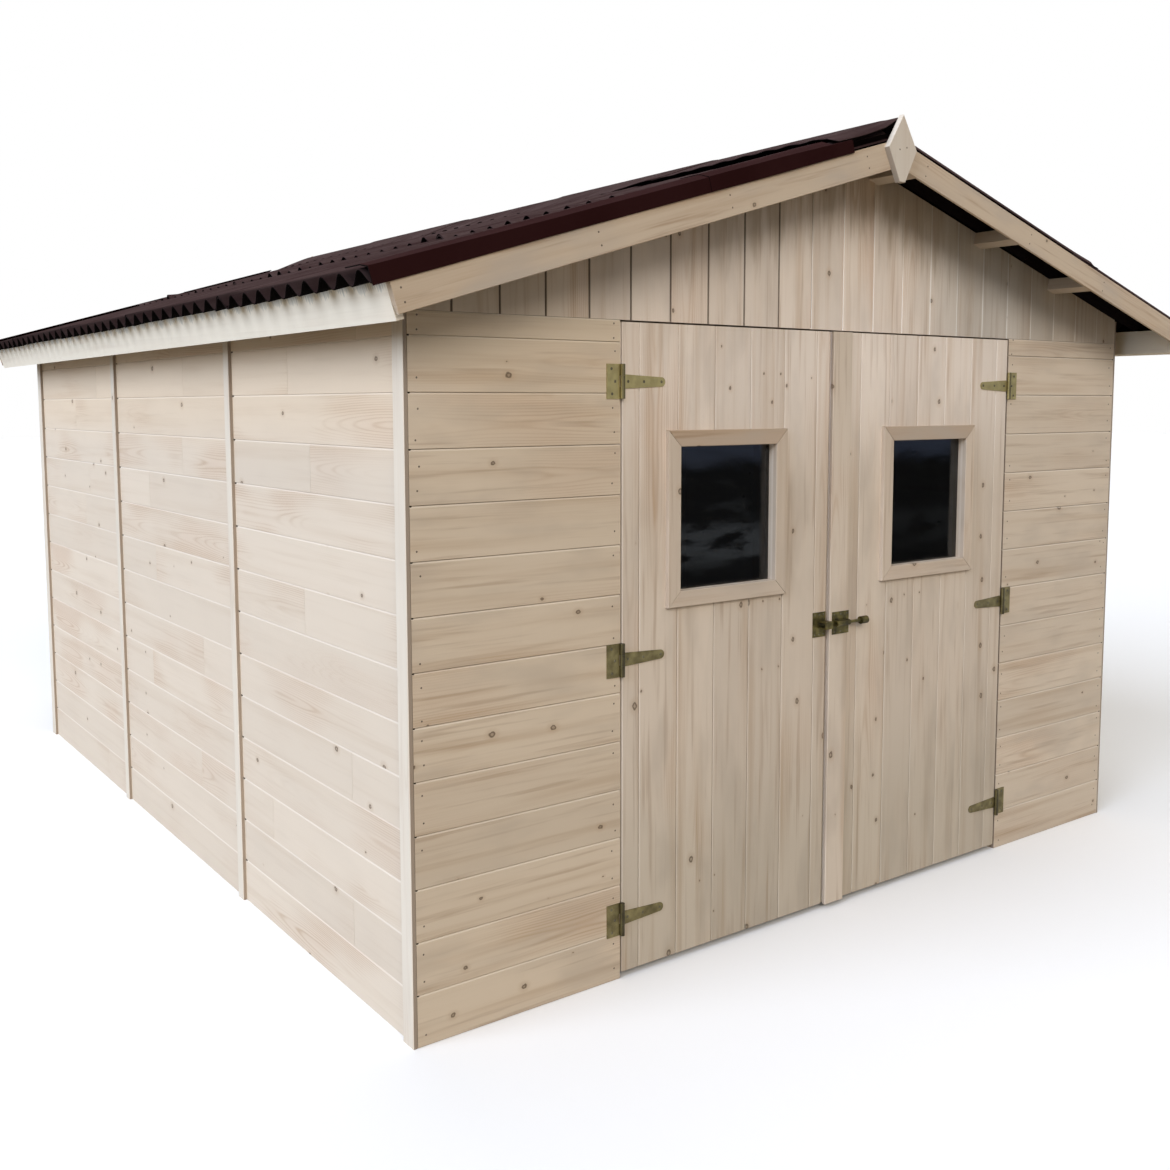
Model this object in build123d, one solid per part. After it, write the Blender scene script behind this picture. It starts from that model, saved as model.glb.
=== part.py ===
from build123d import *
import math
import os

os.makedirs("parts", exist_ok=True)

# Body of the shed, in millimetres, measured over the wall boards
body_width = 2978.0
body_depth = 3694.0
wall_height = 1812.0
board_thickness = 18.0
stud_width = 45.0
stud_depth = 42.0
stud_seat_gap = 0.2
side_stud_count = 7
back_stud_count = 5
side_wall_drop = 6.0
panel_seam = 1.0

# Cover strips on the side and back walls
corner_strip_width = 54.0
seam_strip_width = 42.0
strip_thickness = 12.0
front_panel_length = 1170.0
middle_panel_length = 1263.0

# Roof
roof_pitch = 16.7
gable_foot_rise = 88.0
gable_overhang = 201.0
eave_overhang = 146.0
sheet_eave_reach = 45.0
barge_thickness = 20.0
barge_depth = 77.0
barge_joint = 1.0
fascia_thickness = 20.0
fascia_height = 90.0
purlin_width = 45.0
purlin_depth = 40.0
purlin_run_shares = (0.072, 0.391, 0.650)

# Corrugated roofing sheets
corrugation_pitch = 95.0
corrugation_rise = 34.0
sheet_thickness = 4.0
sheet_lap = 150.0
sheet_lap_gap = 0.3
sheet_ridge_gap = 22.0
crest_flat_share = 0.30
valley_flat_share = 0.34
ridge_cap_reach = 248.0
ridge_cap_thickness = 4.0
ridge_cap_lift = 16.0
ridge_cap_setback = 110.0
trim_thickness = 3.0
trim_leg = 105.0
trim_drop = 13.0
trim_face_rise = 31.0
trim_shoulder_run = 31.0
trim_finial_gap = 6.0

# Finial plates over the joint of the bargeboards
finial_top_rise = 67.0
finial_side_drop = 30.0
finial_bottom_drop = 124.0
finial_half_width = 61.0
finial_tip_half_width = 12.0
finial_thickness = 18.0

# Door leaves
doorway_left_run = 856.0
doorway_right_run = 838.0
door_side_gap = 5.0
door_head_gap = 5.0
door_ground_gap = 18.0
meeting_gap = 6.0
meeting_strip_run = 48.0
meeting_strip_width = 82.0
meeting_strip_thickness = 12.0
meeting_strip_ground_gap = 16.0
ledge_height = 92.0
ledge_thickness = 21.0
ledge_end_gap = 42.0

# Windows in the leaves
left_window_inset = 198.0
right_window_inset = 232.0
window_head_drop = 334.0
window_width = 367.0
window_height = 402.0
window_frame_width = 45.0
window_frame_thickness = 14.0
window_mitre_gap = 0.4
glass_thickness = 4.0
glass_margin = 16.0

# T-hinges
hinge_foot_rise = 155.0
hinge_head_drop = 157.0
hinge_middle_drop = 12.0
hinge_plate_height = 92.0
hinge_plate_width = 42.0
hinge_metal = 3.0
hinge_strap_length = 150.0
hinge_strap_root = 38.0
hinge_strap_tip = 25.0
hinge_pin_standoff = 8.0
hinge_knuckle_radius = 6.5
hinge_pin_radius = 3.0
hinge_pin_clearance = 0.05
hinge_axial_gap = 0.5

# Barrel bolt at the meeting of the leaves
bolt_over_hinge = 14.0
bolt_plate_length = 74.0
bolt_plate_height = 70.0
bolt_plate_metal = 2.0
bolt_barrel_radius = 9.0
bolt_barrel_inset = 8.0
bolt_rod_radius = 5.0
bolt_rod_clearance = 0.06
bolt_rod_length = 104.0
bolt_knob_radius = 12.0
bolt_knob_length = 28.0
bolt_plate_inset = 10.0
bolt_tip_inset = 6.0
keeper_length = 55.0
keeper_height = 77.0
keeper_edge_gap = 2.0
keeper_metal = 3.0
keeper_passage = 16.0
keeper_loop_length = 32.0

# Worked out places
tan_pitch = math.tan(math.radians(roof_pitch))
sin_pitch = math.sin(math.radians(roof_pitch))
cos_pitch = math.cos(math.radians(roof_pitch))
wall_x = body_width / 2
wall_y = body_depth / 2
inner_x = wall_x - board_thickness
inner_y = wall_y - board_thickness
frame_x = inner_x - stud_depth
frame_y = inner_y - stud_depth
verge_y = wall_y + gable_overhang
barge_back_y = verge_y - barge_thickness
roof_apex_height = wall_height + gable_foot_rise + wall_x * tan_pitch
eave_x = wall_x + eave_overhang
side_top = roof_apex_height - wall_x * tan_pitch - side_wall_drop
crest_top = corrugation_rise + sheet_thickness
upper_lift = sheet_thickness + sheet_lap_gap
cap_seat = crest_top + upper_lift
face_y = -wall_y
doorway_left = -doorway_left_run
doorway_right = doorway_right_run
leaf_top = wall_height - door_head_gap
low_hinge = door_ground_gap + hinge_foot_rise
high_hinge = leaf_top - hinge_head_drop
middle_hinge = (low_hinge + high_hinge) / 2 - hinge_middle_drop
hinge_heights = (low_hinge, middle_hinge, high_hinge)
bolt_height = middle_hinge + bolt_over_hinge


def block(x_low, x_high, y_low, y_high, z_low, z_high):
    corner = (Align.MIN, Align.MIN, Align.MIN)
    return Pos(x_low, y_low, z_low) * Box(x_high - x_low, y_high - y_low, z_high - z_low, align=corner)


def prism(points, y_low, y_high):
    rim = Polyline([(x, y_low, z) for x, z in points], close=True)
    return extrude(make_face(rim), amount=y_high - y_low, dir=(0, 1, 0))


def roof_line(x):
    return roof_apex_height - abs(x) * tan_pitch


def save(name, pieces):
    shape = pieces[0] if len(pieces) == 1 else Compound(children=list(pieces))
    export_step(shape, "parts/" + name + ".step")


def flip_x(piece):
    return mirror(piece, about=Plane.YZ)


def flip_y(piece):
    return mirror(piece, about=Plane.XZ)


# Side walls: three boarded panels each, with cover strips over the seams
seam_front = -wall_y + front_panel_length
seam_back = seam_front + middle_panel_length
panel_ends = (-inner_y, seam_front, seam_back, inner_y)
panel_names = ("front", "middle", "back")
for index, panel_name in enumerate(panel_names):
    y_low = panel_ends[index] + panel_seam / 2 * (index > 0)
    y_high = panel_ends[index + 1] - panel_seam / 2 * (index < len(panel_names) - 1)
    panel = block(-wall_x, -inner_x, y_low, y_high, 0, side_top)
    save("left_wall_" + panel_name, [panel])
    save("right_wall_" + panel_name, [flip_x(panel)])

strip_half = seam_strip_width / 2
strip_spans = (
    (-wall_y, -wall_y + corner_strip_width),
    (seam_front - strip_half, seam_front + strip_half),
    (seam_back - strip_half, seam_back + strip_half),
    (wall_y - corner_strip_width, wall_y),
)
strip_outer = wall_x + strip_thickness
left_strips = [block(-strip_outer, -wall_x, low, high, 0, side_top) for low, high in strip_spans]
save("left_cover_strips", left_strips)
save("right_cover_strips", [flip_x(piece) for piece in left_strips])


def side_frame():
    pieces = []
    stud_low = stud_width + stud_seat_gap
    stud_high = side_top - stud_width - stud_seat_gap
    pieces.append(block(-inner_x, -frame_x, -inner_y, inner_y, 0, stud_width))
    pieces.append(block(-inner_x, -frame_x, -inner_y, inner_y, side_top - stud_width, side_top))
    step = (inner_y + inner_y - stud_width) / (side_stud_count - 1)
    for count in range(side_stud_count):
        y_low = -inner_y + step * count
        pieces.append(block(-inner_x, -frame_x, y_low, y_low + stud_width, stud_low, stud_high))
    return pieces


left_frame = side_frame()
save("left_wall_frame", left_frame)
save("right_wall_frame", [flip_x(piece) for piece in left_frame])

# Front wall panels beside the doorway, and the back wall in two panels
save("front_wall_left", [block(-wall_x, doorway_left, face_y, -inner_y, 0, wall_height)])
save("front_wall_right", [block(doorway_right, wall_x, face_y, -inner_y, 0, wall_height)])
back_left = block(-wall_x, -panel_seam / 2, inner_y, wall_y, 0, wall_height)
save("back_wall_left", [back_left])
save("back_wall_right", [flip_x(back_left)])
back_strip = block(-strip_half, strip_half, wall_y, wall_y + strip_thickness, 0, wall_height)
save("back_cover_strip", [back_strip])


def cross_frame(stud_lows):
    reach = frame_x - stud_seat_gap
    y_low = -inner_y
    y_high = -frame_y
    stud_low = stud_width + stud_seat_gap
    stud_high = wall_height - stud_seat_gap
    pieces = [block(-reach, reach, y_low, y_high, wall_height, wall_height + stud_width)]
    for low in stud_lows:
        pieces.append(block(low, low + stud_width, y_low, y_high, stud_low, stud_high))
    return pieces, reach, y_low, y_high


corner_low = -frame_x + stud_seat_gap
front_lows = (corner_low, doorway_left - stud_width, doorway_right, -corner_low - stud_width)
front_frame, reach, y_low, y_high = cross_frame(front_lows)
front_frame.append(block(-reach, doorway_left, y_low, y_high, 0, stud_width))
front_frame.append(block(doorway_right, reach, y_low, y_high, 0, stud_width))
save("front_wall_frame", front_frame)
back_step = (reach + reach - stud_width) / (back_stud_count - 1)
back_lows = [-reach + back_step * count for count in range(back_stud_count)]
back_frame, reach, y_low, y_high = cross_frame(back_lows)
back_frame.append(block(-reach, reach, y_low, y_high, 0, stud_width))
save("back_wall_frame", [flip_y(piece) for piece in back_frame])


# Purlins lie under the sheets and pass through notches in both gables
def purlin_outline(run):
    top = (run, roof_line(run))
    far = (top[0] + purlin_width * cos_pitch, top[1] - purlin_width * sin_pitch)
    low_far = (far[0] - purlin_depth * sin_pitch, far[1] - purlin_depth * cos_pitch)
    low_top = (top[0] - purlin_depth * sin_pitch, top[1] - purlin_depth * cos_pitch)
    return [top, far, low_far, low_top]


purlin_runs = [eave_x * share for share in purlin_run_shares]
right_purlins = [prism(purlin_outline(run), -barge_back_y, barge_back_y) for run in purlin_runs]
left_purlins = [flip_x(piece) for piece in right_purlins]
save("right_purlins", right_purlins)
save("left_purlins", left_purlins)

gable_outline = [
    (-wall_x, wall_height),
    (wall_x, wall_height),
    (wall_x, roof_line(wall_x)),
    (0, roof_apex_height),
    (-wall_x, roof_line(wall_x)),
]
front_gable = prism(gable_outline, face_y, -inner_y)
for piece in right_purlins + left_purlins:
    front_gable = front_gable - piece
save("front_gable", [front_gable.solid()])
save("back_gable", [flip_y(front_gable.solid())])

# Bargeboards, fascias and finials
barge_drop = barge_depth / cos_pitch
barge_low = barge_joint / 2
right_barge = prism(
    [
        (barge_low, roof_line(barge_low)),
        (eave_x, roof_line(eave_x)),
        (eave_x - barge_depth * sin_pitch, roof_line(eave_x) - barge_depth * cos_pitch),
        (barge_low, roof_line(barge_low) - barge_drop),
    ],
    -verge_y,
    -barge_back_y,
)
front_barges = [flip_x(right_barge), right_barge]
save("front_bargeboards", front_barges)
save("back_bargeboards", [flip_y(piece) for piece in front_barges])

fascia_foot_x = eave_x - fascia_height * sin_pitch
fascia_foot_z = roof_line(eave_x) - fascia_height * cos_pitch
fascia_in_x = fascia_thickness * cos_pitch
fascia_in_z = fascia_thickness * sin_pitch
right_fascia = prism(
    [
        (fascia_foot_x, fascia_foot_z),
        (eave_x, roof_line(eave_x)),
        (eave_x - fascia_in_x, roof_line(eave_x) + fascia_in_z),
        (fascia_foot_x - fascia_in_x, fascia_foot_z + fascia_in_z),
    ],
    -barge_back_y,
    barge_back_y,
)
save("right_fascia", [right_fascia])
save("left_fascia", [flip_x(right_fascia)])

finial_outline = [
    (0, roof_apex_height + finial_top_rise),
    (finial_half_width, roof_apex_height - finial_side_drop),
    (finial_tip_half_width, roof_apex_height - finial_bottom_drop),
    (-finial_tip_half_width, roof_apex_height - finial_bottom_drop),
    (-finial_half_width, roof_apex_height - finial_side_drop),
]
front_finial = prism(finial_outline, -verge_y - finial_thickness, -verge_y)
save("front_finial", [front_finial])
save("back_finial", [flip_y(front_finial)])


# Places on the left slope: distance up from the eave edge, depth and height over the roof plane
sheet_eave_x = eave_x + sheet_eave_reach
slope_length = sheet_eave_x / cos_pitch


def on_slope(along, depth, rise):
    x = -sheet_eave_x + along * cos_pitch - rise * sin_pitch
    z = roof_line(sheet_eave_x) + along * sin_pitch + rise * cos_pitch
    return (x, depth, z)


def slope_prism(outline, start, end):
    rim = Polyline([on_slope(start, depth, rise) for depth, rise in outline], close=True)
    return extrude(make_face(rim), amount=end - start, dir=(cos_pitch, 0, sin_pitch))


wave_count = round((verge_y + verge_y) / corrugation_pitch)
wave_step = (verge_y + verge_y) / wave_count


def corrugation():
    points = []
    for count in range(wave_count):
        start = -verge_y + wave_step * count
        valley_end = wave_step * valley_flat_share / 2
        crest_start = wave_step * (1 - crest_flat_share) / 2
        points.append((start + valley_end, 0))
        points.append((start + crest_start, corrugation_rise))
        points.append((start + wave_step - crest_start, corrugation_rise))
        points.append((start + wave_step - valley_end, 0))
    return [(-verge_y, 0)] + points + [(verge_y, 0)]


def sheet_row(start, end, lift):
    under = [(depth, rise + lift) for depth, rise in corrugation()]
    over = [(depth, rise + sheet_thickness) for depth, rise in reversed(under)]
    return slope_prism(under + over, start, end)


lower_end = (slope_length + sheet_lap) / 2
upper_start = (slope_length - sheet_lap) / 2
left_lower = sheet_row(0, lower_end, 0)
left_upper = sheet_row(upper_start, slope_length - sheet_ridge_gap, upper_lift)
save("left_roof_sheets", [left_lower, left_upper])
save("right_roof_sheets", [flip_x(left_lower), flip_x(left_upper)])

# Ridge cap folded over the topmost crests, its right wing starting behind the front verge
cap_low_x = ridge_cap_reach * cos_pitch + cap_seat * sin_pitch
cap_low_z = roof_apex_height - ridge_cap_reach * sin_pitch + cap_seat * cos_pitch
cap_peak = roof_apex_height + cap_seat / cos_pitch + ridge_cap_lift
cap_rise = ridge_cap_thickness / cos_pitch
ridge_cap = prism(
    [
        (-cap_low_x, cap_low_z),
        (0, cap_peak),
        (cap_low_x, cap_low_z),
        (cap_low_x, cap_low_z + cap_rise),
        (0, cap_peak + cap_rise),
        (-cap_low_x, cap_low_z + cap_rise),
    ],
    -verge_y,
    verge_y,
)
cap_top = cap_peak + cap_rise
ridge_cap = ridge_cap - block(0, cap_low_x, -verge_y, -verge_y + ridge_cap_setback, cap_low_z, cap_top)
save("ridge_cap", [ridge_cap.solid()])

# Verge trims along the left slope: a leg bent over the outer crest and a flange over the bargeboard
trim_front = -verge_y - trim_thickness
trim_top = trim_face_rise + trim_thickness
trim_shoulder = -verge_y + trim_shoulder_run
leg_outline = [
    (trim_front, trim_face_rise),
    (trim_shoulder, cap_seat),
    (-verge_y + trim_leg, cap_seat),
    (-verge_y + trim_leg, cap_seat + trim_thickness),
    (trim_shoulder, cap_seat + trim_thickness),
    (trim_front, trim_top),
]
flange_outline = [
    (trim_front, -trim_drop),
    (-verge_y, -trim_drop),
    (-verge_y, trim_top),
    (trim_front, trim_top),
]
leg_end = slope_length - ridge_cap_reach - sheet_ridge_gap
flange_end = slope_length - finial_half_width / cos_pitch - trim_finial_gap
trim_leg_piece = slope_prism(leg_outline, 0, leg_end)
trim_flange_piece = slope_prism(flange_outline, 0, flange_end)
front_trim = (trim_leg_piece + trim_flange_piece).solid()
save("left_verge_trims", [front_trim, flip_y(front_trim)])

# Door leaves with window openings cut through
leaf_left = doorway_left + door_side_gap
leaf_right = doorway_right - door_side_gap
strip_left = -meeting_strip_run
left_leaf_edge = strip_left - meeting_gap
leaf_back_y = face_y + board_thickness
window_half = window_width / 2
window_top = leaf_top - window_head_drop
window_bottom = window_top - window_height
left_window = leaf_left + left_window_inset + window_half
right_window = leaf_right - right_window_inset - window_half


def leaf(x_low, x_high, centre):
    slab = block(x_low, x_high, face_y, leaf_back_y, door_ground_gap, leaf_top)
    hole_low = centre - window_half
    hole_high = centre + window_half
    return slab - block(hole_low, hole_high, face_y, leaf_back_y, window_bottom, window_top)


def ledges(x_low, x_high):
    pieces = []
    for height in hinge_heights:
        low = height - ledge_height / 2
        high = height + ledge_height / 2
        back = leaf_back_y + ledge_thickness
        pieces.append(block(x_low + ledge_end_gap, x_high - ledge_end_gap, leaf_back_y, back, low, high))
    return pieces


def window_frame(centre):
    low = window_bottom
    high = window_top
    left = centre - window_half
    right = centre + window_half
    width = window_frame_width
    gap = window_mitre_gap
    y_front = face_y - window_frame_thickness
    bottom = [(left + gap, low), (right - gap, low), (right + width - gap, low - width), (left - width + gap, low - width)]
    top = [(left + gap, high), (right - gap, high), (right + width - gap, high + width), (left - width + gap, high + width)]
    side = [(left, low + gap), (left, high - gap), (left - width, high + width - gap), (left - width, low - width + gap)]
    other = [(right, low + gap), (right, high - gap), (right + width, high + width - gap), (right + width, low - width + gap)]
    return [prism(outline, y_front, face_y) for outline in (bottom, top, side, other)]


def pane(centre):
    reach = window_half + glass_margin
    low = window_bottom - glass_margin
    high = window_top + glass_margin
    return block(centre - reach, centre + reach, leaf_back_y, leaf_back_y + glass_thickness, low, high)


save("left_door_leaf", [leaf(leaf_left, left_leaf_edge, left_window)])
save("right_door_leaf", [leaf(strip_left, leaf_right, right_window)])
save("left_door_ledges", ledges(leaf_left, left_leaf_edge))
save("right_door_ledges", ledges(strip_left, leaf_right))
save("left_window_frame", window_frame(left_window))
save("right_window_frame", window_frame(right_window))
save("left_window_glass", [pane(left_window)])
save("right_window_glass", [pane(right_window)])

strip_front_y = face_y - meeting_strip_thickness
strip_right = strip_left + meeting_strip_width
meeting_strip = block(strip_left, strip_right, strip_front_y, face_y, meeting_strip_ground_gap, leaf_top)
save("meeting_strip", [meeting_strip])

# T-hinges: the wall plate carries the pin, the strap turns on it
left_pin = doorway_left + door_side_gap / 2
right_pin = doorway_right - door_side_gap / 2
pin_y = face_y - hinge_pin_standoff
metal_y = face_y - hinge_metal
knuckle_length = hinge_plate_height / 3
upright = (Align.CENTER, Align.CENTER, Align.MIN)


def hinge_plate(height):
    low = height - hinge_plate_height / 2
    high = height + hinge_plate_height / 2
    edge = -hinge_knuckle_radius - hinge_axial_gap
    shape = block(edge - hinge_plate_width, edge, metal_y, face_y, low, high)
    for start in (low, high - knuckle_length):
        shape = shape + block(edge, 0, metal_y, face_y, start, start + knuckle_length)
        knuckle = Cylinder(hinge_knuckle_radius, knuckle_length, align=upright)
        shape = shape + Pos(0, pin_y, start) * knuckle
    pin = Cylinder(hinge_pin_radius, hinge_plate_height, align=upright)
    return (shape + Pos(0, pin_y, low) * pin).solid()


def hinge_strap(height):
    low = height - knuckle_length / 2 + hinge_axial_gap
    length = knuckle_length - hinge_axial_gap - hinge_axial_gap
    root_half = hinge_strap_root / 2
    tip_half = hinge_strap_tip / 2
    start = hinge_knuckle_radius + hinge_axial_gap
    tip_x = hinge_strap_length - tip_half
    outline = [
        (start, height - root_half),
        (tip_x, height - tip_half),
        (tip_x, height + tip_half),
        (start, height + root_half),
    ]
    shape = prism(outline, metal_y, face_y)
    end_round = Cylinder(tip_half, hinge_metal, rotation=(90, 0, 0))
    shape = shape + Pos(tip_x, face_y - hinge_metal / 2, height) * end_round
    shape = shape + block(0, start, metal_y, face_y, low, low + length)
    knuckle = Cylinder(hinge_knuckle_radius, length, align=upright)
    bore = Cylinder(hinge_pin_radius + hinge_pin_clearance, length, align=upright)
    shape = shape + Pos(0, pin_y, low) * knuckle
    return (shape - Pos(0, pin_y, low) * bore).solid()


plates = [hinge_plate(height) for height in hinge_heights]
straps = [hinge_strap(height) for height in hinge_heights]
save("left_hinge_plates", [Pos(left_pin, 0, 0) * piece for piece in plates])
save("right_hinge_plates", [Pos(right_pin, 0, 0) * flip_x(piece) for piece in plates])
save("left_hinge_straps", [Pos(left_pin, 0, 0) * piece for piece in straps])
save("right_hinge_straps", [Pos(right_pin, 0, 0) * flip_x(piece) for piece in straps])

# Barrel bolt on the meeting strip, with its keeper on the left leaf
bolt_plate_low = strip_left + bolt_plate_inset
bolt_plate_high = bolt_plate_low + bolt_plate_length
plate_face_y = strip_front_y - bolt_plate_metal
bolt_y = plate_face_y - bolt_barrel_radius
plate_half = bolt_plate_height / 2
along_x = (0, 90, 0)
bolt_plate = block(
    bolt_plate_low, bolt_plate_high, plate_face_y, strip_front_y, bolt_height - plate_half, bolt_height + plate_half
)
barrel_low = bolt_plate_low + bolt_barrel_inset
barrel_length = bolt_plate_length - bolt_barrel_inset - bolt_barrel_inset
barrel_centre = barrel_low + barrel_length / 2
barrel_foot = block(
    barrel_low,
    barrel_low + barrel_length,
    bolt_y,
    plate_face_y,
    bolt_height - bolt_barrel_radius,
    bolt_height + bolt_barrel_radius,
)
barrel = Pos(barrel_centre, bolt_y, bolt_height) * Cylinder(bolt_barrel_radius, barrel_length, rotation=along_x)
barrel_bore = Pos(barrel_centre, bolt_y, bolt_height) * Cylinder(
    bolt_rod_radius + bolt_rod_clearance, barrel_length, rotation=along_x
)
save("bolt_plate", [(bolt_plate + barrel_foot + barrel - barrel_bore).solid()])

bolt_tip = barrel_low + bolt_tip_inset
rod_centre = bolt_tip + bolt_rod_length / 2
rod = Pos(rod_centre, bolt_y, bolt_height) * Cylinder(bolt_rod_radius, bolt_rod_length, rotation=along_x)
knob_centre = bolt_tip + bolt_rod_length + bolt_knob_length / 2
knob = Pos(knob_centre, bolt_y, bolt_height) * Cylinder(bolt_knob_radius, bolt_knob_length, rotation=along_x)
save("sliding_bolt", [(rod + knob).solid()])

keeper_high = left_leaf_edge - keeper_edge_gap
keeper_low = keeper_high - keeper_length
keeper_half = keeper_height / 2
passage_half = keeper_passage / 2
loop_half = passage_half + keeper_metal
keeper_face_y = face_y - bolt_plate_metal
keeper = block(
    keeper_low, keeper_high, keeper_face_y, face_y, bolt_height - keeper_half, bolt_height + keeper_half
)
loop_low = keeper_high - keeper_loop_length
loop_front = bolt_y - loop_half
keeper = keeper + block(
    loop_low, keeper_high, loop_front, keeper_face_y, bolt_height - loop_half, bolt_height + loop_half
)
keeper = keeper - block(
    loop_low,
    keeper_high,
    loop_front + keeper_metal,
    keeper_face_y,
    bolt_height - passage_half,
    bolt_height + passage_half,
)
save("bolt_keeper", [keeper.solid()])
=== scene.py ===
import math
from functools import partialmethod

import bmesh
import bpy
import numpy as np
from mathutils import Matrix, Vector, noise


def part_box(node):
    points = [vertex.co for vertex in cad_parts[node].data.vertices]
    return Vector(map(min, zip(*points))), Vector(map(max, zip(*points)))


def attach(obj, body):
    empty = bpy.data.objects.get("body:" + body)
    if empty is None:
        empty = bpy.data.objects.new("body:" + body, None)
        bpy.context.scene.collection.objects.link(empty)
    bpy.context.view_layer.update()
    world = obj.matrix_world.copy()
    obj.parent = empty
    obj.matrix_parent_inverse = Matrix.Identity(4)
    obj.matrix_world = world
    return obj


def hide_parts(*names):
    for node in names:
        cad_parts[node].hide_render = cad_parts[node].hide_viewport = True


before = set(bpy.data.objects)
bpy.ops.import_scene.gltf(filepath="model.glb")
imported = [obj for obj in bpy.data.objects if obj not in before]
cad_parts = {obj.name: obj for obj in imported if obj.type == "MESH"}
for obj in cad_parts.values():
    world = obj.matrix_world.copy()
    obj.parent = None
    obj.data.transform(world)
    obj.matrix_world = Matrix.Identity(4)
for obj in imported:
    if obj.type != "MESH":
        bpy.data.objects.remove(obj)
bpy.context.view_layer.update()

draw = np.random.default_rng(11)
corner_digits = 5
sides = (("left", -1), ("right", 1))
ends = (("front", -1), ("back", 1))

# Camera of the photograph, in metres, degrees and photo pixels
photo_pixels = 1170
focal_pixels = 1229.2
centre_pixel_x = 585.1
centre_pixel_y = 522.9
sensor_width = 36.0
clip_near = 0.05
clip_far = 300.0
eye_place = Vector((-2.8655, -4.4429, 1.5888))
eye_yaw = math.radians(36.1)
eye_pitch = math.radians(5.495)
eye_roll = math.radians(-0.12)

# Boards: a joint has its open gap and the bevels (width, fall) of its two edges
wall_board_cover = 0.1349
upright_board_cover = 0.1368
narrowest_board_share = 0.08
gable_seam_start = 0.0
door_seam_starts = {"left": -0.107, "right": 0.088}
side_joint = {"gap": 0.0006, "low": (0.0006, 0.0006), "high": (0.005, 0.0014)}
front_joint = {"gap": 0.0018, "low": (0.0006, 0.0006), "high": (0.0044, 0.0014)}
upright_joint = {"gap": 0.0024, "low": (0.0028, 0.0014), "high": (0.001, 0.001)}
open_gable_joint = {"gap": 0.0042, "low": (0.002, 0.003), "high": (0.0004, 0.0004)}
pale_gable_joint = {"gap": 0.0002, "low": (0.006, 0.0016), "high": (0.0003, 0.0003)}
close_gable_from = -0.2
pale_gable_from = 0.35
groove_depth = 0.0075
groove_slack = 0.001
stick_bevel = 0.0015
end_gap = 0.0006
butt_gap = 0.001
butt_share = 0.35
butt_range = (0.2, 0.8)
seam_snap = 0.006
glass_margin = 0.016
mitre_gap = 0.0009

# Nails and screws: a head is its radius and height, and its rings are shares of these
head_sides = 8
head_rings = ((0.72, 0.75), (1.0, 0.0), (1.0, -0.6))
nail_head = (0.0026, 0.0007)
nail_share = 0.85
nail_inset = 0.022
nail_scatter_up = 0.007
nail_scatter_along = 0.004
board_nail_shares = (0.24, 0.76)
barge_nail_shares = (0.3, 0.72)
finial_nails = ((-0.014, 0.1), (0.016, 0.092))
screw_head = (0.0042, 0.0016)
bolt_screw_head = (0.00336, 0.0016)
plate_screws = ((0.017, 0.14), (0.027, 0.5), (0.015, 0.86))
strap_screw_insets = (0.013, 0.074, 0.128)
bolt_screw_inset = 0.008
groove_end = (0.008, 0.001)
groove_end_inset = 0.0045
corner_groove_end = (0.0036, 0.001)
hinge_metal = 0.003
hinge_middle = -0.009
hinge_half_span = 0.8445
bolt_plate_metal = 0.002

# Roof
roof_pitch = math.radians(16.7)
eave_overhang = 0.146
sheet_eave_reach = 0.045
sheet_thickness = 0.003
sheet_row_shares = (0.0, 0.02, 0.05, 0.1, 0.18, 0.4, 0.7, 1.0)
wave_rise = 0.033
wave_pitch = 0.095
wave_points = 12
waves_per_sheet = 9
row_lap = 0.15
row_lift = 0.0036
side_lap_lift = 0.0025
side_lap_hump = 0.005
side_lap_run = 0.13
sheet_ridge_gap = 0.022
lap_edge_lifts = {-1: 0.013, 1: 0.004}
lap_edge_run = 0.16
lap_open_shares = (0.9, 0.9, 0.9, 0.75, 0.8, 0.6, 0.3, 0.35, 0.1, 0.7, 1.0, 0.3, 0.4)
lap_swells = ((3.1, 0.0, 1.3), (13.0, 3.0, 1.17))
lap_open_mean = 0.35
lap_open_least = 0.28
lap_shifts = {-1: -0.08, 1: -0.13}
eave_inset = 0.005
cap_length = 0.86
cap_lap = 0.05
cap_columns = 19
cap_points_per_wave = 8
cap_setback = 0.11
cap_setback_step = 0.001
cap_corner_cut = 0.02
cap_fold_radius = 0.014
cap_edge_curve = 1.5
cap_mouth_run = 0.045
cap_mouth_runs = (0.0, 0.02, 0.06, 0.15, 0.25)
cap_mouth_drops = (0.0, 0.01, 0.02, 0.02, 0.013)
cap_edge_drop = 0.0145
cap_edge_sag = 0.006
cap_open_places = (-2.07, -1.95, -1.75, -1.55, -1.35, -1.15, -1.0, -0.6, 0.1, 0.5, 1.2, 2.07)
cap_open_shares = (1.1, 1.5, 1.6, 1.45, 1.3, 1.15, 0.6, 0.35, 0.0, 0.25, 0.05, 0.2)
ridge_closure_inset = 0.024
filler_ridge_gap = 0.03
filler_run = 0.26
filler_section = ((0.01, 0.0065), (0.01, 0.024), (0.014, 0.024), (0.014, 0.0065))
closure_inset = 0.004
closure_width = 0.012
closure_slack = 0.0006
trim_thickness = 0.003
trim_shoulder_and_leg = (0.031, 0.105)
trim_flange_edge = (0.002, 0.003)
trim_drop = 0.004
trim_face_runs = (0.0, 0.5, 1.3, 1.7)
trim_face_rises = (0.036, 0.031, 0.031, 0.025)
trim_finial_gap = 0.135
trim_joint_run = 1.002
trim_joint_lap = 0.04
trim_joint_proud = 0.0016
trim_wave = 0.0014
trim_sway_scale = 5.0
trim_sag_scale = 3.0
trim_step = 0.06
finial_half_width = 0.061
finial_face_inset = 0.0009
finial_bevel = 0.0012
barge_widths = {-1: 0.077, 1: 0.072}
barge_toe = 0.007
barge_splay = 0.03
barge_joint = 0.0005
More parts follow.
